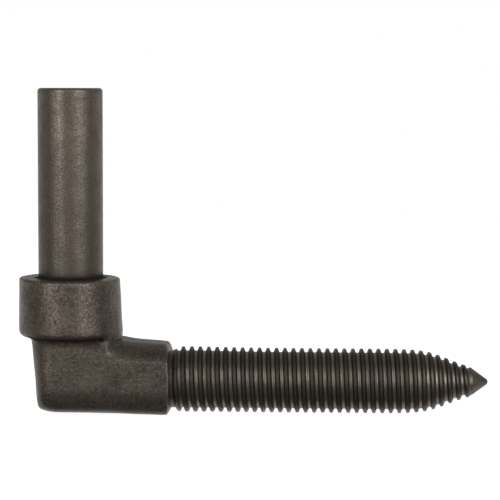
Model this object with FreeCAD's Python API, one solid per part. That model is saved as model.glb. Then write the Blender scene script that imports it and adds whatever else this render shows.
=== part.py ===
import FreeCAD, Part
import math
import os
from FreeCAD import Vector

# Gate hinge pin, forged in one piece. A round pin stands on a drafted collar, the collar sits on an
# elbow block, and an arm runs from the block to a chamfered shoulder and a threaded shank with a point.
# Frame: origin on the pin's axis at the collar's top face, +Z up the pin, +X along the shank to its point.
# Lengths are in millimetres and angles in degrees.

# Pin
PIN_DIAMETER = 19.05
PIN_HEIGHT = 55.7
PIN_EDGE_ROUND = 1.0

# Collar, with a ledge round the pin for the hinge eye to rest on
COLLAR_LEDGE = 5.325
COLLAR_HEIGHT = 17.4
COLLAR_DRAFT = 2.0
COLLAR_TOP_ROUND = 1.3
COLLAR_BOTTOM_ROUND = 1.6

# Elbow block under the collar: its heel lies behind the pin and its ridge in front of it
SHANK_BELOW_COLLAR = 12.5
BAR_DEPTH = 22.0
BAR_BELOW_SHANK = 9.9
BAR_TOP_ROUND = 6.4
BAR_BOTTOM_ROUND = 8.2
LEAST_FLAT = 0.5
BLOCK_SINK = 1.4
HEEL_SETBACK = 4.2
HEEL_DRAFT = 5.3
HEEL_ROUND = 4.2
FOOT_ROUND = 2.0
RIDGE_SETBACK = 4.65
RIDGE_RUN = 0.9
RIDGE_ROUND = 1.0

# Arm: a gusset falls from the collar's edge, and the arm runs on to a chamfered shoulder and a neck
GUSSET_RISE = 0.1
GUSSET_LENGTH = 4.5
GUSSET_FALL = 0.9
ARM_LENGTH = 8.65
SHOULDER_HEIGHT = 20.9
CHAMFER_LENGTH = 1.5
NECK_STEP = 0.35

# Threaded shank, from the neck to the tip
SHANK_LENGTH = 92.7
THREAD_DIAMETER = 18.9
THREAD_PITCH = 2.5
THREAD_DEPTH = 1.05
FIRST_CREST_GAP = 3.2

# Tapered end of the thread, and the plain point
TAPER_ANGLE = 21.5
TAPER_ROUND = 20.0
POINT_LENGTH = 5.3
POINT_BASE_DIAMETER = 8.9
POINT_NOSE_ROUND = 1.1
POINT_SINK = 0.15
POINT_LIP = 0.2

# How finely curves are drawn: an arc is set by its ends and middle, and a turned round is a few bevels
ARC_CHORDS = 2
BEVELS_PER_ROUND = 2
POINTS_PER_TURN = 12
SPARE_TURNS = 1

FULL_TURN = 360
X_AXIS = Vector(1, 0, 0)
Z_AXIS = Vector(0, 0, 1)

# Radii, heights and reaches that follow from the sizes above
PIN_RADIUS = PIN_DIAMETER / 2
COLLAR_TOP_RADIUS = PIN_RADIUS + COLLAR_LEDGE
COLLAR_BOTTOM_RADIUS = COLLAR_TOP_RADIUS + COLLAR_HEIGHT * math.tan(math.radians(COLLAR_DRAFT))
COLLAR_UNDERSIDE = -COLLAR_HEIGHT
SHANK_HEIGHT = COLLAR_UNDERSIDE - SHANK_BELOW_COLLAR
BAR_BOTTOM = SHANK_HEIGHT - BAR_BELOW_SHANK
HEEL_REACH = HEEL_SETBACK - COLLAR_BOTTOM_RADIUS
RIDGE_REACH = COLLAR_BOTTOM_RADIUS - RIDGE_SETBACK
GUSSET_REACH = COLLAR_BOTTOM_RADIUS + GUSSET_LENGTH
SHOULDER_REACH = GUSSET_REACH + ARM_LENGTH
NECK_REACH = SHOULDER_REACH + CHAMFER_LENGTH
FIRST_CREST_REACH = NECK_REACH + FIRST_CREST_GAP
TIP_REACH = NECK_REACH + SHANK_LENGTH
POINT_REACH = TIP_REACH - POINT_LENGTH
THREAD_RADIUS = THREAD_DIAMETER / 2
NECK_RADIUS = THREAD_RADIUS - THREAD_DEPTH + NECK_STEP
POINT_BASE_RADIUS = POINT_BASE_DIAMETER / 2


def round_points(corner, before, after, radius, chords):
    """Points along the arc of a round that is tangent to a corner's sides, before it and after it."""
    back = (before - corner).normalize()
    ahead = (after - corner).normalize()
    half_angle = back.getAngle(ahead) / 2
    centre = corner + (back + ahead).normalize() * (radius / math.sin(half_angle))
    spoke = corner + back * (radius / math.tan(half_angle)) - centre
    turn = math.pi - 2 * half_angle
    points = []
    for step in range(chords + 1):
        angle = turn * step / chords
        points.append(centre + spoke * math.cos(angle) - back * (radius * math.sin(angle)))
    return points


def corner_points(corners, chords):
    """The points of each corner, given as (point, round): one if it is sharp, or the ends of its chords."""
    stretches = []
    for index, (corner, radius) in enumerate(corners):
        before = corners[index - 1][0]
        after = corners[(index + 1) % len(corners)][0]
        stretches.append(round_points(corner, before, after, radius, chords) if radius else [corner])
    return stretches


def turned(corners, foot, axis):
    """The solid that an outline sweeps in a full turn about an axis, its rounds as narrow bevels."""
    points = [spot for stretch in corner_points(corners, BEVELS_PER_ROUND) for spot in stretch]
    outline = Part.makePolygon(points + points[:1])
    return Part.Face(outline).revolve(foot, axis, FULL_TURN)


def pin_and_collar():
    """The pin and its drafted collar, turned together about the pin's axis."""
    corners = [
        (Vector(0, 0, PIN_HEIGHT), 0),
        (Vector(PIN_RADIUS, 0, PIN_HEIGHT), PIN_EDGE_ROUND),
        (Vector(PIN_RADIUS, 0, 0), 0),
        (Vector(COLLAR_TOP_RADIUS, 0, 0), COLLAR_TOP_ROUND),
        (Vector(COLLAR_BOTTOM_RADIUS, 0, COLLAR_UNDERSIDE), COLLAR_BOTTOM_ROUND),
        (Vector(0, 0, COLLAR_UNDERSIDE), 0),
    ]
    return turned(corners, Vector(0, 0, 0), Z_AXIS)


def bar_section(reach, half_depth, top, bottom, top_round, bottom_round, lean=0):
    """The bar's section at one reach, rounded above and below, with a least flat between its rounds."""
    largest_round = min(half_depth, (top - bottom) / 2) - LEAST_FLAT / 2
    corners = [
        (-half_depth, bottom, bottom_round),
        (half_depth, bottom, bottom_round),
        (half_depth, top, top_round),
        (-half_depth, top, top_round),
    ]
    outline = []
    for across, height, radius in corners:
        corner = Vector(reach + (COLLAR_UNDERSIDE - height) * lean, across, height)
        outline.append((corner, min(radius, largest_round)))
    stretches = corner_points(outline, ARC_CHORDS)
    edges = []
    for stretch, following in zip(stretches, stretches[1:] + stretches[:1]):
        edges.append(Part.Arc(*stretch).toShape())
        edges.append(Part.LineSegment(stretch[-1], following[0]).toShape())
    return Part.Wire(edges)


def heel_sections(top):
    """Sections that round the bar's leaning heel: at its corners seen from above, and at its foot."""
    lean = math.tan(math.radians(HEEL_DRAFT))
    sections = []
    for step in range(BEVELS_PER_ROUND + 1):
        angle = math.pi / 2 * step / BEVELS_PER_ROUND
        reach = HEEL_REACH + HEEL_ROUND * (1 - math.cos(angle))
        inset = HEEL_ROUND * (1 - math.sin(angle))
        bottom = BAR_BOTTOM + FOOT_ROUND * (1 - math.sin(angle))
        half_depth = BAR_DEPTH / 2 - inset
        bottom_round = BAR_BOTTOM_ROUND - inset
        sections.append(bar_section(reach, half_depth, top, bottom, RIDGE_ROUND, bottom_round, lean))
    return sections


def bar():
    """The elbow's bar in one loft: the block, its ridge, the gusset, the arm and the chamfered shoulder."""
    block_top = COLLAR_UNDERSIDE + BLOCK_SINK
    gusset_top = COLLAR_UNDERSIDE + GUSSET_RISE
    shoulder_top = SHANK_HEIGHT + SHOULDER_HEIGHT / 2
    shoulder_bottom = SHANK_HEIGHT - SHOULDER_HEIGHT / 2
    bottom_slope = (shoulder_bottom - BAR_BOTTOM) / (SHOULDER_REACH - RIDGE_REACH)
    stations = [
        (RIDGE_REACH, block_top, RIDGE_ROUND),
        (RIDGE_REACH + RIDGE_RUN, gusset_top, BAR_TOP_ROUND),
        (COLLAR_BOTTOM_RADIUS, gusset_top, BAR_TOP_ROUND),
        (GUSSET_REACH, COLLAR_UNDERSIDE - GUSSET_FALL, BAR_TOP_ROUND),
        (SHOULDER_REACH, shoulder_top, BAR_TOP_ROUND),
    ]
    sections = heel_sections(block_top)
    for reach, top, top_round in stations:
        bottom = BAR_BOTTOM + bottom_slope * (reach - RIDGE_REACH)
        sections.append(bar_section(reach, BAR_DEPTH / 2, top, bottom, top_round, BAR_BOTTOM_ROUND))
    neck_top = SHANK_HEIGHT + NECK_RADIUS
    neck_bottom = SHANK_HEIGHT - NECK_RADIUS
    sections.append(bar_section(NECK_REACH, NECK_RADIUS, neck_top, neck_bottom, NECK_RADIUS, NECK_RADIUS))
    return Part.makeLoft(sections, True, True)


def shank_radius(reach):
    """The shank's outer radius: straight, then an arc into the taper, then the taper down to the point."""
    slope = math.tan(math.radians(TAPER_ANGLE))
    point_radius = POINT_BASE_RADIUS - POINT_LIP
    bend = POINT_REACH - (THREAD_RADIUS - point_radius) / slope
    setback = TAPER_ROUND * math.tan(math.radians(TAPER_ANGLE) / 2)
    arc_start = bend - setback
    arc_end = bend + setback * math.cos(math.radians(TAPER_ANGLE))
    if reach <= arc_start:
        return THREAD_RADIUS
    if reach <= arc_end:
        return THREAD_RADIUS - TAPER_ROUND + math.sqrt(TAPER_ROUND ** 2 - (reach - arc_start) ** 2)
    return point_radius + (POINT_REACH - reach) * slope


def thread_corner(offset, depth, turns):
    """A point on a crest or root of the right-hand thread, in turns from the top of the first crest."""
    reach = FIRST_CREST_REACH + offset + THREAD_PITCH * turns
    radius = shank_radius(reach) - depth
    angle = 2 * math.pi * turns + math.pi / 2
    return Vector(reach, radius * math.cos(angle), SHANK_HEIGHT + radius * math.sin(angle))


def thread_turns(offset, depth, first_turn, last_turn):
    """One crest or root line of the thread, smooth through points on its helix and cut into single turns."""
    turns = []
    for step in range((last_turn - first_turn + 2 * SPARE_TURNS) * POINTS_PER_TURN + 1):
        turns.append(first_turn - SPARE_TURNS + step / POINTS_PER_TURN)
    helix = Part.BSplineCurve()
    helix.interpolate(Points=[thread_corner(offset, depth, turn) for turn in turns], Parameters=turns)
    edges = []
    for turn in range(first_turn, last_turn):
        single = helix.copy()
        single.segment(turn, turn + 1)
        edges.append(single.toShape())
    return edges


def rod_end(spiral, corners):
    """The faces that close one end of the rod: a spiral floor from a crest to the axis, and a flat cut."""
    near = Vector(corners[0].x, 0, SHANK_HEIGHT)
    far = Vector(corners[-1].x, 0, SHANK_HEIGHT)
    floor = Part.makeRuledSurface(spiral, Part.LineSegment(near, far).toShape())
    cut = Part.Face(Part.makePolygon([near] + corners + [far, near]))
    return [floor, cut]


def threaded_rod(rod_start, rod_stop):
    """The thread between two reaches: its flanks run from crest to root and back, closed and cut square."""
    crest = (0, 0)
    root = (THREAD_PITCH / 2, THREAD_DEPTH)
    next_crest = (THREAD_PITCH, 0)
    first_turn = math.floor((rod_start - FIRST_CREST_REACH) / THREAD_PITCH) - SPARE_TURNS
    last_turn = math.ceil((rod_stop - FIRST_CREST_REACH) / THREAD_PITCH)
    crests = thread_turns(*crest, first_turn, last_turn + 1)
    roots = thread_turns(*root, first_turn, last_turn)
    faces = []
    for near_crest, root_line, far_crest in zip(crests, roots, crests[1:]):
        faces.append(Part.makeRuledSurface(near_crest, root_line))
        faces.append(Part.makeRuledSurface(root_line, far_crest))
    for spiral, turn in ((crests[0], first_turn), (crests[-1], last_turn)):
        faces += rod_end(spiral, [thread_corner(*corner, turn) for corner in (crest, root, next_crest)])
    shell = Part.makeShell(faces)
    shell.sewShape()
    rod = Part.makeSolid(Part.Shell(shell.Faces))
    if rod.Volume < 0:
        rod.reverse()
    start = Vector(rod_start, 0, SHANK_HEIGHT)
    wide_cylinder = Part.makeCylinder(THREAD_DIAMETER, rod_stop - rod_start, start, X_AXIS)
    return rod.common(wide_cylinder)


def point():
    """The shank's plain point: a short cone, turned about the shank's axis, that ends in a blunt nose."""
    base = Vector(POINT_REACH, 0, SHANK_HEIGHT + POINT_BASE_RADIUS)
    nose_centre = Vector(TIP_REACH - POINT_NOSE_ROUND, 0, SHANK_HEIGHT)
    lean = math.atan2(base.z - nose_centre.z, nose_centre.x - base.x)
    half_angle = lean - math.asin(POINT_NOSE_ROUND / base.distanceToPoint(nose_centre))
    touch = Vector(math.sin(half_angle), 0, math.cos(half_angle)) * POINT_NOSE_ROUND
    corners = [
        (Vector(POINT_REACH, 0, SHANK_HEIGHT), 0),
        (base, 0),
        (nose_centre + touch, 0),
        (Vector(TIP_REACH, 0, SHANK_HEIGHT), 0),
    ]
    return turned(corners, Vector(0, 0, SHANK_HEIGHT), X_AXIS)


def hinge_pin():
    """The whole forging as one solid. The thread's ends are buried in the shoulder and in the point."""
    rod = threaded_rod(SHOULDER_REACH, POINT_REACH + POINT_SINK)
    return pin_and_collar().multiFuse([bar(), rod, point()])


forging = hinge_pin()
print("solids", len(forging.Solids), "valid", forging.isValid(), "volume", round(forging.Volume, 1))
os.makedirs("parts", exist_ok=True)
forging.Solids[0].exportStep("parts/hinge_pin.step")
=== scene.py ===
import bmesh
import bpy
import numpy as np
from mathutils import Matrix, Vector


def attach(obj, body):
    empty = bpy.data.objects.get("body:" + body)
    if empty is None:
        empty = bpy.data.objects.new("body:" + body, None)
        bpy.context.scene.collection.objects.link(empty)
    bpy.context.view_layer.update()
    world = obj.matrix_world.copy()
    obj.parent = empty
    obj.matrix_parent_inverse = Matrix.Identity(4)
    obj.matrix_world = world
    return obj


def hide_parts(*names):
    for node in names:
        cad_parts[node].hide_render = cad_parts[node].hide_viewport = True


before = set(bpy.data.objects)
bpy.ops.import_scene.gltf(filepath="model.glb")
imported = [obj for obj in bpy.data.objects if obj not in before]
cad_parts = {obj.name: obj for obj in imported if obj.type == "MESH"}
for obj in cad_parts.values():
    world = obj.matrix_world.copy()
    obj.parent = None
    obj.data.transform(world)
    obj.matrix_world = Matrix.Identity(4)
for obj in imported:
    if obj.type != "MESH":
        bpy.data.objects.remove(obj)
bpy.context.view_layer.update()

MM = 0.001
PIECE = "forged_hinge_pin"
NODE = "hinge_pin"
BODY = "root"

# Pin and collar
PIN_RADIUS = 9.525
PIN_TOP = 55.7
PIN_EDGE_ROUND = 1.0
PIN_FOOT_FILLET = 0.5
COLLAR_TOP_RADIUS = 14.85
COLLAR_BOTTOM_RADIUS = 15.42
COLLAR_UNDERSIDE = -17.4
COLLAR_TOP_ROUND = 0.9
COLLAR_BOTTOM_ROUND = 1.9
COLLAR_SHIFT = 0.35
COLLAR_TILT = 0.25
RIM_MARGIN = 1.0
LEAST_RADIUS = 1.0
TURN_SEGMENTS = 192
PROFILE_STEP = 0.8
ROUND_POINTS = 8

# Where the collar runs down into the arm: cosines of the bearing from +X, its drop and its inner radius
ARM_SIDE_START = 0.68
ARM_SIDE_FULL = 0.8
ARM_SIDE_DROP = 1.7
ARM_SIDE_INSIDE = 9.5

# Elbow bar: heel, block, ridge, arm and shoulder
SHANK_HEIGHT = -29.9
BAR_HALF_DEPTH = 11.0
HEEL_REACH = -11.05
HEEL_LEAN = 0.078
HEEL_ROUND = 6.3
FOOT_RISE = 1.7
FLARE_ROUND = 0.9
FLARE_FADE = 0.6
RIDGE_REACH = 11.5
RIDGE_BEFORE = 0.8
RIDGE_AFTER = 2.2
SHOULDER_REACH = 28.1
SHOULDER_END = 29.85
SHOULDER_POWER = 2.0
SHOULDER_SIDE_POWER = 14.0
SIDE_NARROWING = 4
SHOULDER_CROWDING = 1.5
NECK_INSIDE_REACH = 30.3
NECK_INSIDE_RADIUS = 8.0
BOTTOM_ROUND = 8.2
TOP_KEYS = [(-12, -15.4), (8.4, -15.4), (9.4, -17.1), (10.8, -17.3), (12.2, -17.45), (13.2, -17.6),
            (15.5, -17.8), (17.5, -18.15), (20.0, -18.45), (24.0, -18.8), (28.3, -19.13), (30.0, -19.28)]
TOP_ROUND_KEYS = [(-12, 1.0), (11.75, 1.0), (12.0, 2.8), (12.6, 4.6), (13.4, 5.7), (15.0, 6.6), (17.5, 7.1),
                  (22.0, 7.4), (28.3, 7.4), (30.0, 7.4)]
TOP_DROP_KEYS = [(-12, 1.0), (11.75, 1.0), (12.0, 3.9), (13.0, 4.7), (15.0, 5.3), (18.0, 5.2),
                 (22.0, 5.1), (28.3, 4.7), (30.0, 4.7)]
TOP_CORNER_POWERS = (2.0, 1.25)
ROUND_POWERS = (2.0, 2.0)
BOTTOM_KEYS = [(-12, -39.75), (0, -39.78), (10.0, -39.85), (20.0, -40.08), (28.3, -40.28), (30.0, -40.28)]
ARC_POINTS = 14
FLAT_POINTS = 12
CAP_RINGS = 9
HEEL_RINGS = 10
BLOCK_RINGS = 26
RIDGE_RINGS = 14
ARM_RINGS = 26
SHOULDER_RINGS = 14

# Threaded shank and point
THREAD_PITCH = 2.5
FIRST_CREST = 33.27
THREAD_DEPTH = 1.22
TAPER_THREAD_DEPTH = 0.98
CREST_HALF = 0.12
ROOT_START = 0.38
THREAD_START = 26.0
RISE_START = 29.9
RISE_END = 32.6
TAPER_START = 97.0
TAPER_END = 106.0
FADE_START = 115.8
FADE_END = 118.6
TIP_REACH = 122.8
POINT_REACH = 117.5
NOSE_ROUND = 1.1
NOSE_TOUCH = (122.36, 0.886)
NOSE_EASE = 2.0
CREST_KEYS = [(24, 9.66), (34, 9.66), (45, 9.58), (60, 9.52), (92, 9.5), (98.3, 9.42), (100.7, 9.29),
              (103.0, 9.07), (105.4, 8.64), (107.8, 7.94), (110.4, 7.0), (113.1, 5.96), (115.3, 5.15),
              (117.5, 4.45)]
ROWS_PER_TURN = 64
PITCH_STOPS = [0, 0.09, 0.14, 0.19, 0.24, 0.29, 0.34, 0.39, 0.44, 0.5,
               0.56, 0.61, 0.66, 0.71, 0.76, 0.81, 0.86, 0.91]

# Forged unevenness
FORGED_WAVE = 7.0
FORGED_DEPTH = 0.13
SHANK_SAG = 0.14
SAG_START = 36.0
SAG_END = 60.0
SHANK_WAVE = 5.0
SHANK_DEPTH = 0.04
WAVE_COUNT = 9
COLLAR_SEED = 1
BAR_SEED = 2
SHANK_SEED = 3

# Worn collar rims, worn flecks with a painted highlight on the shoulder, and a painted highlight on the
# ridge: where each lies, how wide it is and how strong
TOP_RIM_RADIUS = 14.45
TOP_RIM_HEIGHT = -0.5
TOP_RIM_WIDTH = 0.9
TOP_RIM_WEAR = 0.25
BOTTOM_RIM_RADIUS = 14.92
BOTTOM_RIM_HEIGHT = -16.9
BOTTOM_RIM_WIDTH = 0.8
BOTTOM_RIM_WEAR = 0.2
SHOULDER_WEAR_AND_HIGHLIGHT_REACH = 29.5
SHOULDER_WEAR_AND_HIGHLIGHT_WIDTH = 0.35
SHOULDER_WEAR_AND_HIGHLIGHT_HEIGHT = -28.4
SHOULDER_WEAR_AND_HIGHLIGHT_SPAN = 5.0
RIDGE_HIGHLIGHT_REACH = 11.9
RIDGE_HIGHLIGHT_WIDTH = 0.3
RIDGE_HIGHLIGHT_LOW = -21.0
RIDGE_HIGHLIGHT_FULL = -20.5
RIDGE_HIGHLIGHT = 1.3
SIDE_START = 8.0
SIDE_FULL = 9.0

# Painted shade in the creases and on the arm's top, and the levels that stand in for the thread's on the
# neck, painted dark as shade, and on the point
FOOT_CREASE_WIDTH = 1.6
UNDER_COLLAR_HEIGHT = -17.1
UNDER_COLLAR_WIDTH = 1.0
UNDER_COLLAR_RADIUS = 15.52
UNDER_COLLAR_START = 7.0
UNDER_COLLAR_FULL = 10.0
UNDER_COLLAR_FADE = 10.5
UNDER_COLLAR_END = 12.5
ARM_TOP_DEPTH = 0.9
ARM_TOP_SHADE = 0.42
LEAST_GROOVE = 0.1
# Painted shade on the neck: its thread colour is held at a dark level; on the point it is held at a level of
# its own
NECK_CREST = 0.22
NECK_CREST_START = 31.5
NECK_CREST_END = 37.0
POINT_CREST = 0.2
POINT_CREST_START = 116.5
POINT_CREST_END = 118.0

# Finishes: how metallic they are, their linear colours, and the room left at their borders
STEEL_METALLIC = 0.75
THREAD_METALLIC = 0.8
STREAK_STRETCH = (1.0, 1.0, 0.03)
PIN_DARK = (0.076, 0.063, 0.05, 1)
PIN_LIGHT = (0.154, 0.129, 0.102, 1)
# Painted shade: how far the pin darkens towards its foot, where it catches less of the lamps' light
PIN_FOOT_SHADE = 0.9
SKIN_DARK = (0.04, 0.033, 0.026, 1)
SKIN_LIGHT = (0.122, 0.1, 0.08, 1)
# Light of worn edges, of painted highlights and of painted glints
WORN_AND_HIGHLIGHT_STEEL = (0.23, 0.196, 0.158, 1)
# Dark of the pits, and of the shade painted into creases and onto the arm's top
PIT_DARK_AND_PAINTED_SHADE = (0.016, 0.014, 0.011, 1)
# Painted highlight and shade on the thread: roots light where the lamps' highlights fall, flanks and crests
# dark as shade
ROOT_HIGHLIGHT_STEEL = (0.158, 0.135, 0.109, 1)
FLANK_SHADE_STEEL = (0.043, 0.037, 0.03, 1)
CREST_SHADE_STEEL = (0.051, 0.043, 0.035, 1)
FORGED, DRAWN, ROLLED = range(3)
NECK_FINISH_ROOM = 0.6
CREST_FINISH_ROOM = 0.05

# Noises of the finishes: features to the metre, detail and roughness
STREAK_NOISE = (900, 4.0, 0.65)
GRAIN_NOISE = (1250, 3.0, 0.7)
PIN_CLOUD_NOISE = (260, 3.0, 0.5)
DENT_NOISE = (90, 1.0, 0.5)
SKIN_CLOUD_NOISE = (130, 5.0, 0.6)
PATCH_NOISE = (90, 2.0, 0.5)
GLINT_NOISE = (1500, 1.0, 0.5)
THREAD_NOISE = (2000, 3.0, 0.7)
THREAD_CLOUD_NOISE = (200, 3.0, 0.5)
PIT_CELLS = 420

# How the finishes use them: shares of a tone, spans of a noise, and the levels those become
PIN_SHARES = (0.3, 0.4, 0.3)
PIN_TONES = (0.38, 0.62)
PIN_ROUGHNESS = (0.5, 0.36)
SKIN_SHARES = (0.4, 0.6)
SKIN_TONES = (0.36, 0.64)
SKIN_ROUGHNESS = (0.48, 0.34)
PIT_EDGE = (0.1, 0.2)
PIT_DARKNESS = 0.7
PIT_DEPTH = 0.4
PATCH_TONES = (0.48, 0.56)
GLINT_TONES = (0.56, 0.74)
GLINT_LEVEL = 0.35
WEAR_AND_HIGHLIGHT_TONES = (0.35, 0.6)
WEAR_AND_HIGHLIGHT_LEAST = 0.3
SPECKLE_TONES = (0.3, 0.7)
SPECKLE_SPREAD = (-0.1, 0.1)
ROOT_TO_FLANK = (0.05, 0.35)
FLANK_TO_CREST = (0.7, 1.0)
THREAD_CLOUD_TONES = (0.35, 0.65)
THREAD_ROUGHNESS = (0.37, 0.49)

# Reliefs of the finishes, in millimetres
DENT_RELIEF = 0.4
STREAK_RELIEF = 0.05
GRAIN_RELIEF = 0.12
SKIN_RELIEF = 0.2
THREAD_RELIEF = 0.04

# Sockets of the colour mix node
MIX_PART = 0
MIX_FIRST = 6
MIX_SECOND = 7
MIX_RESULT = 2

# Floor, room and lamps
WHITE = (1, 1, 1, 1)
FLOOR_LOW = (-700.0, -160.0)
FLOOR_HIGH = (800.0, 900.0)
FLOOR_HEIGHT = -40.5
FLOOR_COLOUR = (0.42, 0.42, 0.42, 1)
FLOOR_GLOW = 0.94
FLOOR_BEHIND = (-0.0072, -0.0045)
FRONT_FULL = -0.85
FRONT_END = -0.25
ROOM_FRONT = 0.65
ROOM_SIDE = 0.31
WALL_START = 0.05
WALL_FULL = 0.5
ROOM_SOFT = 0.65
CEILING_START = -0.02
CEILING_FULL = 0.16
ROOM_CEILING = 0.55
BELOW_START = 0.02
BELOW_FULL = -0.4
ROOM_BELOW = 0.2
LAMP_WIDTH = 0.26
LAMP_HEIGHT = 0.7
LAMP_DISTANCE = 0.9
LAMP_TARGET = (10.0, 0.0, 10.0)

# Lamps: name, bearing from the front and height in degrees, and power in watts
LAMPS = [("lamp_left", -34.0, 16.0, 4.0), ("lamp_front", 4.0, 16.0, 0.65), ("lamp_right", 42.0, 16.0, 4.2)]

# Camera, at the photograph's viewing angle
CAMERA_PLACE = (77.063, -590.0, 55.7)
CAMERA_YAW = -2.3494
CAMERA_PITCH = 4.581
CAMERA_ROLL = 0.1375
CAMERA_LENS = 145.26
SENSOR_WIDTH = 36.0
CLIP_START = 0.01

SHARP_ANGLE = np.radians(32)
MERGE_DISTANCE = 1e-6


def smooth_step(low, high, values):
    """Rises from 0 at low to 1 at high along the cubic 3t squared minus 2t cubed."""
    part = np.clip((values - low) / (high - low), 0, 1)
    return part * part * (3 - 2 * part)


def smooth_curve(keys, reach):
    """A curve through key points that never overshoots: on each stretch a cubic, whose slope at a key is
    the harmonic mean of the slopes beside it, or level where they change sign."""
    knots, heights = np.array(keys, float).T
    runs = np.diff(heights) / np.diff(knots)
    product = runs[:-1] * runs[1:]
    level = np.zeros(len(product))
    inner = np.divide(2 * product, runs[:-1] + runs[1:], out=level, where=product > 0)
    slopes = np.concatenate((runs[:1], inner, runs[-1:]))
    index = np.clip(np.searchsorted(knots, reach) - 1, 0, len(knots) - 2)
    width = knots[index + 1] - knots[index]
    part = np.clip((reach - knots[index]) / width, 0, 1)
    rest = 1 - part
    start = (1 + 2 * part) * rest ** 2 * heights[index] + part * rest ** 2 * width * slopes[index]
    stop = (3 - 2 * part) * part ** 2 * heights[index + 1] - rest * part ** 2 * width * slopes[index + 1]
    return start + stop


def waves(points, length, seed):
    """Smooth unevenness near zero: the mean of sine waves of one length in seeded directions."""
    draw = np.random.default_rng(seed)
    directions = draw.normal(size=(WAVE_COUNT, 3))
    directions *= 2 * np.pi / length / np.linalg.norm(directions, axis=1, keepdims=True)
    phases = draw.uniform(0, 2 * np.pi, WAVE_COUNT)
    return np.sin(points @ directions.T + phases).mean(axis=-1)


def dents(points, depth, length, seed):
    """How far the forging left each spot below its plain shape: half the depth, and waves about that."""
    return depth * (0.5 + waves(points, length, seed))


def rounded_corner(before, corner, after, radius, count):
    """The arc of a round in a corner: its centre lies on the bisector, and it touches both sides."""
    back = (before - corner) / np.linalg.norm(before - corner)
    ahead = (after - corner) / np.linalg.norm(after - corner)
    half = np.arccos(np.clip(back @ ahead, -1, 1)) / 2
    bisector = (back + ahead) / np.linalg.norm(back + ahead)
    centre = corner + bisector * radius / np.sin(half)
    spoke = corner + back * radius / np.tan(half) - centre
    angles = np.linspace(0, np.pi - 2 * half, count)[:, None]
    return centre + spoke * np.cos(angles) - back * radius * np.sin(angles)


def profile(corners, step):
    """An outline through corners with their rounds, its runs cut into lengths of at most one step."""
    points = [np.array(spot, float) for spot, radius in corners]
    stretches = [points[:1]]
    for index in range(1, len(corners) - 1):
        radius = corners[index][1]
        stretches.append(rounded_corner(*points[index - 1:index + 2], radius, ROUND_POINTS))
    stretches.append(points[-1:])
    outline = np.concatenate(stretches)
    lengths = np.linalg.norm(np.diff(outline, axis=0), axis=1)
    cuts = np.maximum(np.ceil(lengths / step).astype(int), 1)
    runs = [np.linspace(*outline[index:index + 2], cut, endpoint=False) for index, cut in enumerate(cuts)]
    return np.concatenate(runs + [outline[-1:]])


def new_shell(name, points, faces):
    """A closed mesh object from points in millimetres and faces, its doubles merged and its ends filled."""
    mesh = bpy.data.meshes.new(name)
    mesh.from_pydata((points.reshape(-1, 3) * MM).tolist(), [], faces.tolist())
    shell = bmesh.new()
    shell.from_mesh(mesh)
    bmesh.ops.remove_doubles(shell, verts=shell.verts, dist=MERGE_DISTANCE)
    bmesh.ops.dissolve_degenerate(shell, edges=shell.edges, dist=MERGE_DISTANCE)
    bmesh.ops.holes_fill(shell, edges=[edge for edge in shell.edges if edge.is_boundary])
    bmesh.ops.recalc_face_normals(shell, faces=shell.faces)
    shell.to_mesh(mesh)
    shell.free()
    piece = bpy.data.objects.new(name, mesh)
    bpy.context.scene.collection.objects.link(piece)
    return piece


def ring_faces(rings, around):
    """Quads between neighbouring rings of one closed grid, as four corner indices each."""
    ring, spot = np.meshgrid(np.arange(rings - 1), np.arange(around), indexing="ij")
    beside = (spot + 1) % around
    corners = (ring * around + spot, ring * around + beside,
               (ring + 1) * around + beside, (ring + 1) * around + spot)
    return np.stack(corners, axis=-1).reshape(-1, 4)


def pin_and_collar():
    """The pin and collar: a profile of radius and height turned about Z, x = r cos a and y = r sin a.
    Towards the arm the collar's wall runs straight down, without its round, and sinks into the arm.
    The collar's wall and edge are uneven, and the collar's top sits a little to one side of the pin."""
    corners = [
        ((0, PIN_TOP), 0),
        ((PIN_RADIUS, PIN_TOP), PIN_EDGE_ROUND),
        ((PIN_RADIUS, 0), PIN_FOOT_FILLET),
        ((COLLAR_TOP_RADIUS, 0), COLLAR_TOP_ROUND),
        ((COLLAR_BOTTOM_RADIUS, COLLAR_UNDERSIDE), COLLAR_BOTTOM_ROUND),
        ((0, COLLAR_UNDERSIDE), 0),
    ]
    radius, height = profile(corners, PROFILE_STEP).T
    angles = np.linspace(0, 2 * np.pi, TURN_SEGMENTS, endpoint=False)
    foot = 1 - smooth_step(COLLAR_UNDERSIDE, COLLAR_UNDERSIDE + COLLAR_BOTTOM_ROUND, height)
    foot = foot * smooth_step(ARM_SIDE_INSIDE, COLLAR_BOTTOM_RADIUS - COLLAR_BOTTOM_ROUND, radius)
    sunk = np.outer(foot, smooth_step(ARM_SIDE_START, ARM_SIDE_FULL, np.cos(angles)))
    spread = radius[:, None] + sunk * (COLLAR_BOTTOM_RADIUS - radius)[:, None]
    points = np.stack((
        spread * np.cos(angles),
        spread * np.sin(angles),
        height[:, None] - ARM_SIDE_DROP * sunk,
    ), axis=-1)
    rim = smooth_step(PIN_RADIUS + RIM_MARGIN, COLLAR_TOP_RADIUS, radius) * (height <= 0)
    sag = dents(points, FORGED_DEPTH, FORGED_WAVE, COLLAR_SEED) * rim[:, None]
    shift = COLLAR_SHIFT * rim * (1 - height / COLLAR_UNDERSIDE)
    points[..., :2] *= (1 - sag / np.maximum(radius, LEAST_RADIUS)[:, None])[..., None]
    points[..., 2] -= sag * smooth_step(-COLLAR_TOP_ROUND, 0, height)[:, None]
    points[..., 2] += COLLAR_TILT * rim[:, None] * smooth_step(0, COLLAR_TOP_RADIUS, -points[..., 0])
    points[..., 0] -= shift[:, None]
    return new_shell("turned_pin", points, ring_faces(len(radius), TURN_SEGMENTS))


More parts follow.
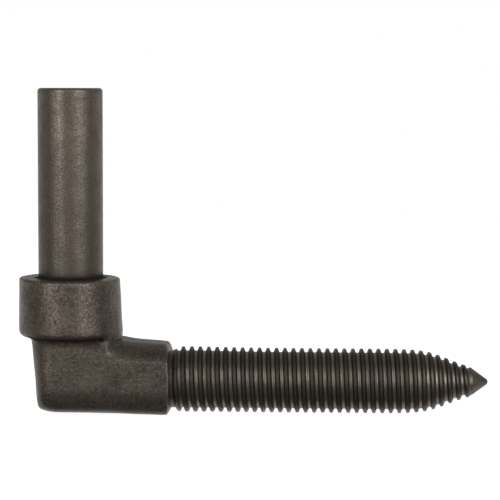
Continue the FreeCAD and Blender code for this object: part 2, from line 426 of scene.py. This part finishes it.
def bar_rings(half_depth, top, bottom, top_round, top_drop, bottom_round):
    """Rounded rectangles in Y and Z, one for each station, with the same points on every round and flat.
    A corner is the curve |y| to one power plus |z| to another = 1, stretched to its run and its drop:
    a circle below, and above a curve that starts gently and ends in a crisp line at the flat side."""
    arcs = []
    for quarter, (side, level, run, drop, powers) in enumerate((
            (1, top, top_round, top_drop, TOP_CORNER_POWERS),
            (-1, top, top_round, top_drop, TOP_CORNER_POWERS),
            (-1, bottom, bottom_round, bottom_round, ROUND_POWERS),
            (1, bottom, bottom_round, bottom_round, ROUND_POWERS))):
        angles = np.pi / 2 * (quarter + np.linspace(0, 1, ARC_POINTS))
        inward = -drop if quarter < 2 else drop
        bow = np.sign(np.cos(angles)) * np.abs(np.cos(angles)) ** (2 / powers[0])
        rise = np.sign(np.sin(angles)) * np.abs(np.sin(angles)) ** (2 / powers[1])
        across = (side * (half_depth - run))[:, None] + run[:, None] * bow
        upward = (level + inward)[:, None] + drop[:, None] * rise
        arcs.append(np.stack((across, upward), axis=-1))
    part = (np.arange(FLAT_POINTS) + 1)[:, None] / (FLAT_POINTS + 1)
    pieces = []
    for arc, following in zip(arcs, arcs[1:] + arcs[:1]):
        pieces.append(arc)
        pieces.append(arc[:, -1:] * (1 - part) + following[:, :1] * part)
    return np.concatenate(pieces, axis=1)


def bar_stations():
    """Where the bar's rings stand along X, and how far each has turned round the heel: not at all on the
    end cap, and a quarter turn past the heel."""
    around = np.linspace(0, np.pi / 2, HEEL_RINGS)
    heel = HEEL_REACH + HEEL_ROUND * (1 - np.cos(around))
    ridge_start = RIDGE_REACH - RIDGE_BEFORE
    ridge_end = RIDGE_REACH + RIDGE_AFTER
    left = np.linspace(1, 0, SHOULDER_RINGS + 1)[1:] ** SHOULDER_CROWDING
    reach = np.concatenate((
        np.full(CAP_RINGS, HEEL_REACH),
        heel,
        np.linspace(heel[-1], ridge_start, BLOCK_RINGS + 1)[1:],
        np.linspace(ridge_start, ridge_end, RIDGE_RINGS + 1)[1:],
        np.linspace(ridge_end, SHOULDER_REACH, ARM_RINGS + 1)[1:],
        SHOULDER_END - (SHOULDER_END - SHOULDER_REACH) * left,
        [NECK_INSIDE_REACH],
    ))
    turn = np.full(len(reach), np.pi / 2)
    turn[:CAP_RINGS] = 0
    turn[CAP_RINGS:CAP_RINGS + HEEL_RINGS] = around
    return reach, turn


def bar_sections(reach, turn):
    """The bar's outline in Y and Z at each station, drawn in round the heel and to a spot on the cap."""
    inset = HEEL_ROUND * (1 - np.sin(turn))
    top = smooth_curve(TOP_KEYS, reach)
    bottom = smooth_curve(BOTTOM_KEYS, reach) + FOOT_RISE * (1 - np.sin(turn))
    top_round = smooth_curve(TOP_ROUND_KEYS, reach)
    top_drop = smooth_curve(TOP_DROP_KEYS, reach)
    rings = bar_rings(BAR_HALF_DEPTH - inset, top, bottom, top_round, top_drop, BOTTOM_ROUND - inset)
    middle = np.stack((np.zeros(len(reach)), (top + bottom) / 2), axis=-1)[:, None]
    size = np.ones(len(reach))
    size[:CAP_RINGS] = np.linspace(0, 1, CAP_RINGS, endpoint=False)
    return middle + (rings - middle) * size[:, None, None]


def elbow_bar():
    """The bar: rounded rectangles carried along X, from the leaning heel, over the ridge under the collar,
    to the shoulder, where each ring blends into the neck's circle by a power of its way along:
    the square above and below, and a higher power at the sides, where the edge is tighter."""
    reach, turn = bar_stations()
    rings = bar_sections(reach, turn)
    away = np.clip((reach - SHOULDER_REACH) / (SHOULDER_END - SHOULDER_REACH), 0, 1)
    hub = np.array([0, SHANK_HEIGHT])
    spokes = rings - hub
    outward = spokes / np.linalg.norm(spokes, axis=-1, keepdims=True)
    sideways = outward[..., :1] ** SIDE_NARROWING
    blend = away[:, None, None] ** (SHOULDER_POWER + (SHOULDER_SIDE_POWER - SHOULDER_POWER) * sideways)
    rings = hub + spokes * (1 - blend) + NECK_INSIDE_RADIUS * outward * blend
    across, upward = rings[..., 0], rings[..., 1]
    climb = np.clip(upward - COLLAR_UNDERSIDE + FLARE_ROUND, 0, FLARE_ROUND)
    fillet = FLARE_ROUND - np.sqrt(FLARE_ROUND ** 2 - climb ** 2)
    flare = fillet * (1 - smooth_step(RIDGE_REACH - RIDGE_BEFORE, RIDGE_REACH + FLARE_FADE, reach))[:, None]
    leaning = 1 - smooth_step(HEEL_REACH, RIDGE_REACH, reach)[:, None]
    along = reach[:, None] + (COLLAR_UNDERSIDE - upward) * HEEL_LEAN * leaning
    along = along - flare * np.cos(turn)[:, None]
    across = across + flare * np.sin(turn)[:, None] * np.sign(across)
    points = np.stack((along, across, upward), axis=-1)
    dent = dents(points, FORGED_DEPTH, FORGED_WAVE, BAR_SEED) * (1 - blend[..., 0])
    points[..., 1:] -= dent[..., None] * outward
    points[..., 0] += dent * np.cos(turn)[:, None]
    return new_shell("elbow_bar", points, ring_faces(len(reach), rings.shape[1]))


def crest_radius(reach):
    """The shank's outer radius: a curve through keys, then a straight cone, then a ball at the nose."""
    cone = np.interp(reach, [POINT_REACH, NOSE_TOUCH[0]], [CREST_KEYS[-1][1], NOSE_TOUCH[1]])
    ball = np.sqrt(np.maximum(NOSE_ROUND ** 2 - (reach - TIP_REACH + NOSE_ROUND) ** 2, 0))
    radius = np.where(reach < POINT_REACH, smooth_curve(CREST_KEYS, reach), cone)
    return np.where(reach > NOSE_TOUCH[0], ball, radius)


def groove_depth(reach):
    """How deep the thread's groove is: less along the taper, and nothing past the point's base."""
    depth = THREAD_DEPTH + (TAPER_THREAD_DEPTH - THREAD_DEPTH) * smooth_step(TAPER_START, TAPER_END, reach)
    return depth * (1 - smooth_step(FADE_START, FADE_END, reach))


def threaded_shank():
    """The shank as one helical ribbon: the angle grows along the rows and the reach across one pitch.
    The radius is the crest's less the groove's depth, and the groove fades at the neck and the point.
    Each row's end joins the row one turn on. The very last corner stays on the last point, at the tip."""
    stops = np.array(PITCH_STOPS)
    count = len(stops)
    first_turn = np.floor((THREAD_START - FIRST_CREST) / THREAD_PITCH) - 1
    turns = int(np.ceil((TIP_REACH - FIRST_CREST) / THREAD_PITCH) - first_turn) + 1
    rows = turns * ROWS_PER_TURN
    turn = (first_turn + np.arange(rows + ROWS_PER_TURN) / ROWS_PER_TURN)[:, None]
    reach = np.clip(FIRST_CREST + THREAD_PITCH * (turn + stops), THREAD_START, TIP_REACH)
    crest_distance = np.minimum(stops, 1 - stops)
    groove = smooth_step(CREST_HALF, ROOT_START, crest_distance)
    rise = smooth_step(RISE_START, RISE_END, reach)
    radius = crest_radius(reach) - groove_depth(reach) * (1 - rise * (1 - groove))
    angle = 2 * np.pi * turn + np.pi / 2
    sag = SHANK_SAG * smooth_step(SAG_START, SAG_END, reach)
    points = np.stack((
        reach,
        radius * np.cos(angle),
        SHANK_HEIGHT - sag + radius * np.sin(angle),
    ), axis=-1)
    worn = dents(points, SHANK_DEPTH, SHANK_WAVE, SHANK_SEED) * smooth_step(0, NOSE_EASE, radius)
    points[..., 1] -= worn * np.cos(angle)
    points[..., 2] -= worn * np.sin(angle)
    row, column = np.meshgrid(np.arange(rows), np.arange(count), indexing="ij")
    here = row * count + column
    beside = np.where(column == count - 1, (row + ROWS_PER_TURN) * count, here + 1)
    faces = np.stack((here, here + count, beside + count, beside), axis=-1).reshape(-1, 4)
    return new_shell("threaded_shank", points, np.minimum(faces, len(turn) * count - 1))


def united(base, others):
    """One closed skin from shells that overlap: the union of the base with each other shell in turn."""
    for other in others:
        union = base.modifiers.new(other.name, "BOOLEAN")
        union.operation = "UNION"
        union.solver = "MANIFOLD"
        union.object = other
    graph = bpy.context.evaluated_depsgraph_get()
    mesh = bpy.data.meshes.new_from_object(base.evaluated_get(graph))
    for shell in [base] + others:
        bpy.data.objects.remove(shell)
    mesh.name = PIECE
    piece = bpy.data.objects.new(PIECE, mesh)
    bpy.context.scene.collection.objects.link(piece)
    return piece


def set_attribute(mesh, name, values):
    """Stores one number for each vertex, for the finishes to read."""
    mesh.attributes.new(name, "FLOAT", "POINT").data.foreach_set("value", values.astype(np.float32))


def bell(distance, width):
    """A soft spot that is 1 at no distance and falls off as a bell curve of the given width."""
    return np.exp(-(distance / width) ** 2)


def distance_from_shank(across, depth, height):
    """How far a spot lies from the shank's axis, which sags a little past the neck."""
    sag = SHANK_SAG * smooth_step(SAG_START, SAG_END, across)
    return np.hypot(depth, height - SHANK_HEIGHT + sag)


def worn_edges_and_painted_highlights(across, depth, height):
    """Where the skin is light: worn on the collar's two rims, worn flecks and a painted highlight on the
    shoulder's side edges, and a painted highlight on the ridge.
    """
    pin_distance = np.hypot(across, depth)
    side = smooth_step(SIDE_START, SIDE_FULL, np.abs(depth))
    from_top_rim = np.hypot(pin_distance - TOP_RIM_RADIUS, height - TOP_RIM_HEIGHT)
    top_rim = bell(from_top_rim, TOP_RIM_WIDTH)
    from_bottom_rim = np.hypot(pin_distance - BOTTOM_RIM_RADIUS, height - BOTTOM_RIM_HEIGHT)
    bottom_rim = bell(from_bottom_rim, BOTTOM_RIM_WIDTH)
    # Worn flecks, and a painted highlight where the shoulder's rounded edge catches the lamps
    shoulder = side * bell(across - SHOULDER_WEAR_AND_HIGHLIGHT_REACH, SHOULDER_WEAR_AND_HIGHLIGHT_WIDTH)
    shoulder = shoulder * bell(height - SHOULDER_WEAR_AND_HIGHLIGHT_HEIGHT, SHOULDER_WEAR_AND_HIGHLIGHT_SPAN)
    # Painted highlight: the light line where the ridge's edge catches the lamps
    ridge = side * bell(across - RIDGE_HIGHLIGHT_REACH, RIDGE_HIGHLIGHT_WIDTH) * (height < COLLAR_UNDERSIDE)
    ridge = ridge * smooth_step(RIDGE_HIGHLIGHT_LOW, RIDGE_HIGHLIGHT_FULL, height)
    rims = TOP_RIM_WEAR * top_rim + BOTTOM_RIM_WEAR * bottom_rim
    return np.clip(rims + shoulder + RIDGE_HIGHLIGHT * ridge, 0, 1)


def painted_shade_places(across, depth, height):
    """Where shade is painted dark into the colour: round the pin's foot, under the collar, and thinly on the
    arm's top.
    """
    pin_distance = np.hypot(across, depth)
    # Painted shade: round the pin's foot, under the collar's overhang, and a thin band on the arm's top
    pin_foot = bell(np.hypot(pin_distance - PIN_RADIUS, height), FOOT_CREASE_WIDTH)
    under_collar = bell(height - UNDER_COLLAR_HEIGHT, UNDER_COLLAR_WIDTH)
    under_collar = under_collar * (pin_distance < UNDER_COLLAR_RADIUS)
    under_collar = under_collar * smooth_step(UNDER_COLLAR_START, UNDER_COLLAR_FULL, np.abs(depth))
    under_collar = under_collar * (1 - smooth_step(UNDER_COLLAR_FADE, UNDER_COLLAR_END, across))
    arm_top = smooth_step(-ARM_TOP_DEPTH, 0, height - smooth_curve(TOP_KEYS, across))
    arm_top = arm_top * (height < COLLAR_UNDERSIDE) * (across > RIDGE_REACH) * (across < SHOULDER_END)
    return np.clip(pin_foot + under_collar + ARM_TOP_SHADE * arm_top, 0, 1)


def crest_nearness(across, depth, height):
    """How near a spot lies to the thread's crest: 0 at a root and 1 at a crest, and one level of its own
    on the neck, where it paints shade, and on the point."""
    below = crest_radius(across) - distance_from_shank(across, depth, height)
    crest = np.clip(1 - below / np.maximum(groove_depth(across), LEAST_GROOVE), 0, 1)
    crest = crest + (NECK_CREST - crest) * (1 - smooth_step(NECK_CREST_START, NECK_CREST_END, across))
    return crest + (POINT_CREST - crest) * smooth_step(POINT_CREST_START, POINT_CREST_END, across)


def mark_edges(mesh):
    """Stores what the finishes follow: worn edges with painted highlights, painted shade, and nearness to
    the thread's crest.
    """
    spots = np.empty(len(mesh.vertices) * 3, np.float32)
    mesh.vertices.foreach_get("co", spots)
    place = spots.reshape(-1, 3).T / MM
    set_attribute(mesh, "wear_and_highlight", worn_edges_and_painted_highlights(*place))
    set_attribute(mesh, "painted_shade", painted_shade_places(*place))
    set_attribute(mesh, "crest", crest_nearness(*place))


def add_node(tree, kind, inputs=None, **settings):
    """A new shader node with its settings; an input is either a socket to link or a plain value."""
    node = tree.nodes.new(kind)
    for name, value in settings.items():
        setattr(node, name, value)
    for name, value in (inputs or {}).items():
        if isinstance(value, bpy.types.NodeSocket):
            tree.links.new(value, node.inputs[name])
        else:
            node.inputs[name].default_value = value
    return node


def noise(tree, place, scale, detail, roughness):
    """Cloudy noise, with about scale features to the metre."""
    inputs = {"Vector": place, "Scale": scale, "Detail": detail, "Roughness": roughness}
    return add_node(tree, "ShaderNodeTexNoise", inputs).outputs["Fac"]


def remap(tree, value, low, high, start, stop):
    """Values from low to high become start to stop, held at both ends."""
    inputs = {"Value": value, "From Min": low, "From Max": high, "To Min": start, "To Max": stop}
    return add_node(tree, "ShaderNodeMapRange", inputs).outputs["Result"]


def combine(tree, operation, first, second):
    """Plain arithmetic on two values."""
    return add_node(tree, "ShaderNodeMath", {0: first, 1: second}, operation=operation).outputs[0]


def weighted_sum(tree, values, shares):
    """Adds up values, each times its share."""
    total = combine(tree, "MULTIPLY", values[0], shares[0])
    for value, share in zip(values[1:], shares[1:]):
        total = combine(tree, "ADD", total, combine(tree, "MULTIPLY", value, share))
    return total


def blend_colours(tree, part, first, second):
    """Goes from the first colour to the second as part goes from 0 to 1."""
    inputs = {MIX_PART: part, MIX_FIRST: first, MIX_SECOND: second}
    return add_node(tree, "ShaderNodeMix", inputs, data_type="RGBA").outputs[MIX_RESULT]


def attribute(tree, name):
    """Reads one of the piece's own vertex marks."""
    return add_node(tree, "ShaderNodeAttribute", attribute_name=name).outputs["Fac"]


def bump(tree, height, distance, normal=None):
    """Raises the surface by a height pattern, over a distance in millimetres."""
    inputs = {"Height": height, "Distance": distance * MM, "Strength": 1.0}
    if normal:
        inputs["Normal"] = normal
    return add_node(tree, "ShaderNodeBump", inputs).outputs["Normal"]


def new_finish(name, metallic):
    """A material with one shader, and the object's own coordinates."""
    material = bpy.data.materials.new(name)
    material.use_nodes = True
    tree = material.node_tree
    shader = tree.nodes["Principled BSDF"]
    shader.inputs["Metallic"].default_value = metallic
    place = add_node(tree, "ShaderNodeTexCoord").outputs["Object"]
    return material, tree, shader, place


def dress(tree, shader, colour, roughness, normal):
    """Joins a finish's colour, roughness and relief to its shader. Where the painted shade mark is full,
    shade is painted dark into the colour and the surface is quite matt.
    """
    painted_shade = attribute(tree, "painted_shade")
    # Painted shade: the mark darkens the colour
    colour = blend_colours(tree, painted_shade, colour, PIT_DARK_AND_PAINTED_SHADE)
    roughness = combine(tree, "MAXIMUM", roughness, painted_shade)
    tree.links.new(colour, shader.inputs["Base Color"])
    tree.links.new(roughness, shader.inputs["Roughness"])
    tree.links.new(normal, shader.inputs["Normal"])


def drawn_pin_steel():
    """Drawn bar: fine streaks along the pin, faint mottling, painted shade that darkens it towards its foot,
    and painted shade in the corner at its foot.
    """
    material, tree, shader, place = new_finish("drawn_pin_steel", STEEL_METALLIC)
    stretched = add_node(tree, "ShaderNodeMapping", {"Vector": place, "Scale": STREAK_STRETCH}).outputs[0]
    streaks = noise(tree, stretched, *STREAK_NOISE)
    grain = noise(tree, place, *GRAIN_NOISE)
    clouds = noise(tree, place, *PIN_CLOUD_NOISE)
    tone = weighted_sum(tree, (streaks, grain, clouds), PIN_SHARES)
    colour = blend_colours(tree, remap(tree, tone, *PIN_TONES, 0, 1), PIN_DARK, PIN_LIGHT)
    height = add_node(tree, "ShaderNodeSeparateXYZ", {0: place}).outputs["Z"]
    # Painted shade: the colour darkens towards the pin's foot
    foot_shade = remap(tree, height, 0, PIN_TOP * MM, PIN_FOOT_SHADE, 0)
    colour = blend_colours(tree, foot_shade, colour, PIN_DARK)
    roughness = remap(tree, tone, *PIN_TONES, *PIN_ROUGHNESS)
    normal = bump(tree, noise(tree, place, *DENT_NOISE), DENT_RELIEF)
    normal = bump(tree, streaks, STREAK_RELIEF, normal)
    normal = bump(tree, grain, GRAIN_RELIEF, normal)
    dress(tree, shader, colour, roughness, normal)
    return material


def forged_skin():
    """Forged oxide skin: mottled and speckled, with small pits, worn light edges, painted highlights and
    glints, and painted shade in creases.
    """
    material, tree, shader, place = new_finish("forged_skin", STEEL_METALLIC)
    clouds = noise(tree, place, *SKIN_CLOUD_NOISE)
    speckle = noise(tree, place, *GRAIN_NOISE)
    cells = add_node(tree, "ShaderNodeTexVoronoi", {"Vector": place, "Scale": PIT_CELLS}).outputs["Distance"]
    patches = remap(tree, noise(tree, place, *PATCH_NOISE), *PATCH_TONES, 0, 1)
    pits = combine(tree, "MULTIPLY", remap(tree, cells, *PIT_EDGE, PIT_DARKNESS, 0), patches)
    tone = weighted_sum(tree, (clouds, speckle), SKIN_SHARES)
    colour = blend_colours(tree, remap(tree, tone, *SKIN_TONES, 0, 1), SKIN_DARK, SKIN_LIGHT)
    # Painted glints: small random light specks in the colour that stand in for sparkle in the highlights
    glints = remap(tree, noise(tree, place, *GLINT_NOISE), *GLINT_TONES, 0, GLINT_LEVEL)
    patchy = remap(tree, speckle, *WEAR_AND_HIGHLIGHT_TONES, WEAR_AND_HIGHLIGHT_LEAST, 1)
    # Worn collar rims, and painted highlights on the shoulder and the ridge
    worn = combine(tree, "MULTIPLY", attribute(tree, "wear_and_highlight"), patchy)
    colour = blend_colours(tree, combine(tree, "MAXIMUM", worn, glints), colour, WORN_AND_HIGHLIGHT_STEEL)
    colour = blend_colours(tree, pits, colour, PIT_DARK_AND_PAINTED_SHADE)
    roughness = remap(tree, tone, *SKIN_TONES, *SKIN_ROUGHNESS)
    relief = combine(tree, "SUBTRACT", tone, combine(tree, "MULTIPLY", pits, PIT_DEPTH))
    dress(tree, shader, colour, roughness, bump(tree, relief, SKIN_RELIEF))
    return material


def rolled_thread():
    """Rolled thread: smooth roots painted light as highlight, flanks and crests painted dark as shade, and
    fine speckle.
    """
    material, tree, shader, place = new_finish("rolled_thread", THREAD_METALLIC)
    speckle = noise(tree, place, *THREAD_NOISE)
    clouds = noise(tree, place, *THREAD_CLOUD_NOISE)
    patches = remap(tree, speckle, *SPECKLE_TONES, *SPECKLE_SPREAD)
    crest = combine(tree, "ADD", attribute(tree, "crest"), patches)
    # Painted highlight in the roots, painted shade on the flanks and crests
    colour = blend_colours(tree, remap(tree, crest, *ROOT_TO_FLANK, 0, 1), ROOT_HIGHLIGHT_STEEL, FLANK_SHADE_STEEL)
    colour = blend_colours(tree, remap(tree, crest, *FLANK_TO_CREST, 0, 1), colour, CREST_SHADE_STEEL)
    roughness = remap(tree, clouds, *THREAD_CLOUD_TONES, *THREAD_ROUGHNESS)
    dress(tree, shader, colour, roughness, bump(tree, speckle, THREAD_RELIEF))
    return material


def finish_faces(mesh):
    """Gives each face its finish: drawn on the pin, rolled on the shank, and forged on all else."""
    mesh.materials.clear()
    for material in (forged_skin(), drawn_pin_steel(), rolled_thread()):
        mesh.materials.append(material)
    centres = np.empty(len(mesh.polygons) * 3, np.float32)
    mesh.polygons.foreach_get("center", centres)
    across, depth, height = centres.reshape(-1, 3).T / MM
    pin = (height > 0) & (np.hypot(across, depth) < PIN_RADIUS + PIN_FOOT_FILLET / 2)
    shank = distance_from_shank(across, depth, height) < crest_radius(across) + CREST_FINISH_ROOM
    shank = shank & (across > SHOULDER_END - NECK_FINISH_ROOM)
    finish = np.where(pin, DRAWN, np.where(shank, ROLLED, FORGED))
    mesh.polygons.foreach_set("material_index", finish.astype(np.int32))
    mesh.update()


def add_floor():
    """A pale floor that the forging touches: a level sheet, matt, with a glow for the camera that makes up
    plain white, and that reflections see behind the object. The object's shadow stays on it."""
    low, high = FLOOR_LOW, FLOOR_HIGH
    corners = np.array([low, (high[0], low[1]), high, (low[0], high[1])])
    spots = np.column_stack((corners, np.full(len(corners), FLOOR_HEIGHT))) * MM
    mesh = bpy.data.meshes.new("floor")
    mesh.from_pydata(spots.tolist(), [], [(0, 1, 2, 3)])
    floor = bpy.data.objects.new("floor", mesh)
    bpy.context.scene.collection.objects.link(floor)
    material = bpy.data.materials.new("pale_floor")
    material.use_nodes = True
    tree = material.node_tree
    tree.nodes.clear()
    place = add_node(tree, "ShaderNodeTexCoord").outputs["Object"]
    back = add_node(tree, "ShaderNodeSeparateXYZ", {0: place}).outputs["Y"]
    path = add_node(tree, "ShaderNodeLightPath").outputs
    mirrored = combine(tree, "MULTIPLY", path["Is Glossy Ray"], remap(tree, back, *FLOOR_BEHIND, 0, 1))
    seen = combine(tree, "MAXIMUM", path["Is Camera Ray"], path["Is Transmission Ray"])
    glow = combine(tree, "MULTIPLY", combine(tree, "MAXIMUM", seen, mirrored), FLOOR_GLOW)
    matt = add_node(tree, "ShaderNodeBsdfDiffuse", {"Color": FLOOR_COLOUR}).outputs[0]
    lit = add_node(tree, "ShaderNodeEmission", {"Color": WHITE, "Strength": glow}).outputs[0]
    both = add_node(tree, "ShaderNodeAddShader", {0: matt, 1: lit}).outputs[0]
    add_node(tree, "ShaderNodeOutputMaterial", {"Surface": both})
    mesh.materials.append(material)


def add_room():
    """The room's light: white to the camera all round, and for the object a white wall behind it,
    a dimmer room in front, dimmer still at the sides, and less from above and below."""
    world = bpy.data.worlds.new("room")
    world.use_nodes = True
    bpy.context.scene.world = world
    tree = world.node_tree
    tree.nodes.clear()
    direction = add_node(tree, "ShaderNodeTexCoord").outputs["Generated"]
    parts = add_node(tree, "ShaderNodeSeparateXYZ", {0: direction}).outputs
    front = remap(tree, parts["Y"], FRONT_FULL, FRONT_END, ROOM_FRONT, ROOM_SIDE)
    wall = remap(tree, parts["Y"], WALL_START, WALL_FULL, 0, 1 - ROOM_SIDE)
    above = remap(tree, parts["Z"], CEILING_START, CEILING_FULL, 1, ROOM_CEILING)
    level = combine(tree, "MULTIPLY", combine(tree, "ADD", front, wall), above)
    below = remap(tree, parts["Z"], BELOW_FULL, BELOW_START, ROOM_BELOW, 1)
    level = combine(tree, "MULTIPLY", level, below)
    path = add_node(tree, "ShaderNodeLightPath").outputs
    level = combine(tree, "MULTIPLY", level, remap(tree, path["Is Glossy Ray"], 0, 1, ROOM_SOFT, 1))
    seen = combine(tree, "MAXIMUM", path["Is Camera Ray"], path["Is Transmission Ray"])
    level = combine(tree, "MAXIMUM", level, seen)
    light = add_node(tree, "ShaderNodeBackground", {"Color": WHITE, "Strength": level}).outputs[0]
    add_node(tree, "ShaderNodeOutputWorld", {"Surface": light})


def add_lamp(name, azimuth, elevation, power):
    """A soft rectangular lamp at one bearing from the front and one height, turned to the object."""
    light = bpy.data.lights.new(name, "AREA")
    light.shape = "RECTANGLE"
    light.size, light.size_y = LAMP_WIDTH, LAMP_HEIGHT
    light.energy = power
    turn, rise = np.radians((azimuth, elevation))
    bearing = Vector((np.sin(turn) * np.cos(rise), -np.cos(turn) * np.cos(rise), np.sin(rise)))
    lamp = bpy.data.objects.new(name, light)
    lamp.location = Vector(LAMP_TARGET) * MM + bearing * LAMP_DISTANCE
    lamp.rotation_euler = bearing.to_track_quat("Z", "Y").to_euler()
    bpy.context.scene.collection.objects.link(lamp)


def camera_turn():
    """The camera's axes: forward from yaw and pitch, right level, up across both, then rolled."""
    yaw, pitch, roll = np.radians((CAMERA_YAW, CAMERA_PITCH, CAMERA_ROLL))
    forward = np.array((np.sin(yaw) * np.cos(pitch), np.cos(yaw) * np.cos(pitch), -np.sin(pitch)))
    right = np.array((np.cos(yaw), -np.sin(yaw), 0))
    up = np.cross(right, forward)
    rolled_right = np.cos(roll) * right + np.sin(roll) * up
    rolled_up = np.cos(roll) * up - np.sin(roll) * right
    return Matrix(np.column_stack((rolled_right, rolled_up, -forward)).tolist())


def add_camera():
    """The camera at the photograph's viewing angle."""
    lens = bpy.data.cameras.new("camera")
    lens.sensor_width = SENSOR_WIDTH
    lens.lens = CAMERA_LENS
    lens.clip_start = CLIP_START
    camera = bpy.data.objects.new("camera", lens)
    camera.matrix_world = Matrix.Translation(Vector(CAMERA_PLACE) * MM) @ camera_turn().to_4x4()
    bpy.context.scene.collection.objects.link(camera)
    bpy.context.scene.camera = camera


forging = united(pin_and_collar(), [elbow_bar(), threaded_shank()])
mark_edges(forging.data)
finish_faces(forging.data)
forging.data.shade_smooth()
forging.data.set_sharp_from_angle(angle=SHARP_ANGLE)
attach(forging, BODY)
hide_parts(NODE)

add_floor()
add_room()
for lamp in LAMPS:
    add_lamp(*lamp)
add_camera()
bpy.context.scene.view_settings.view_transform = "Standard"
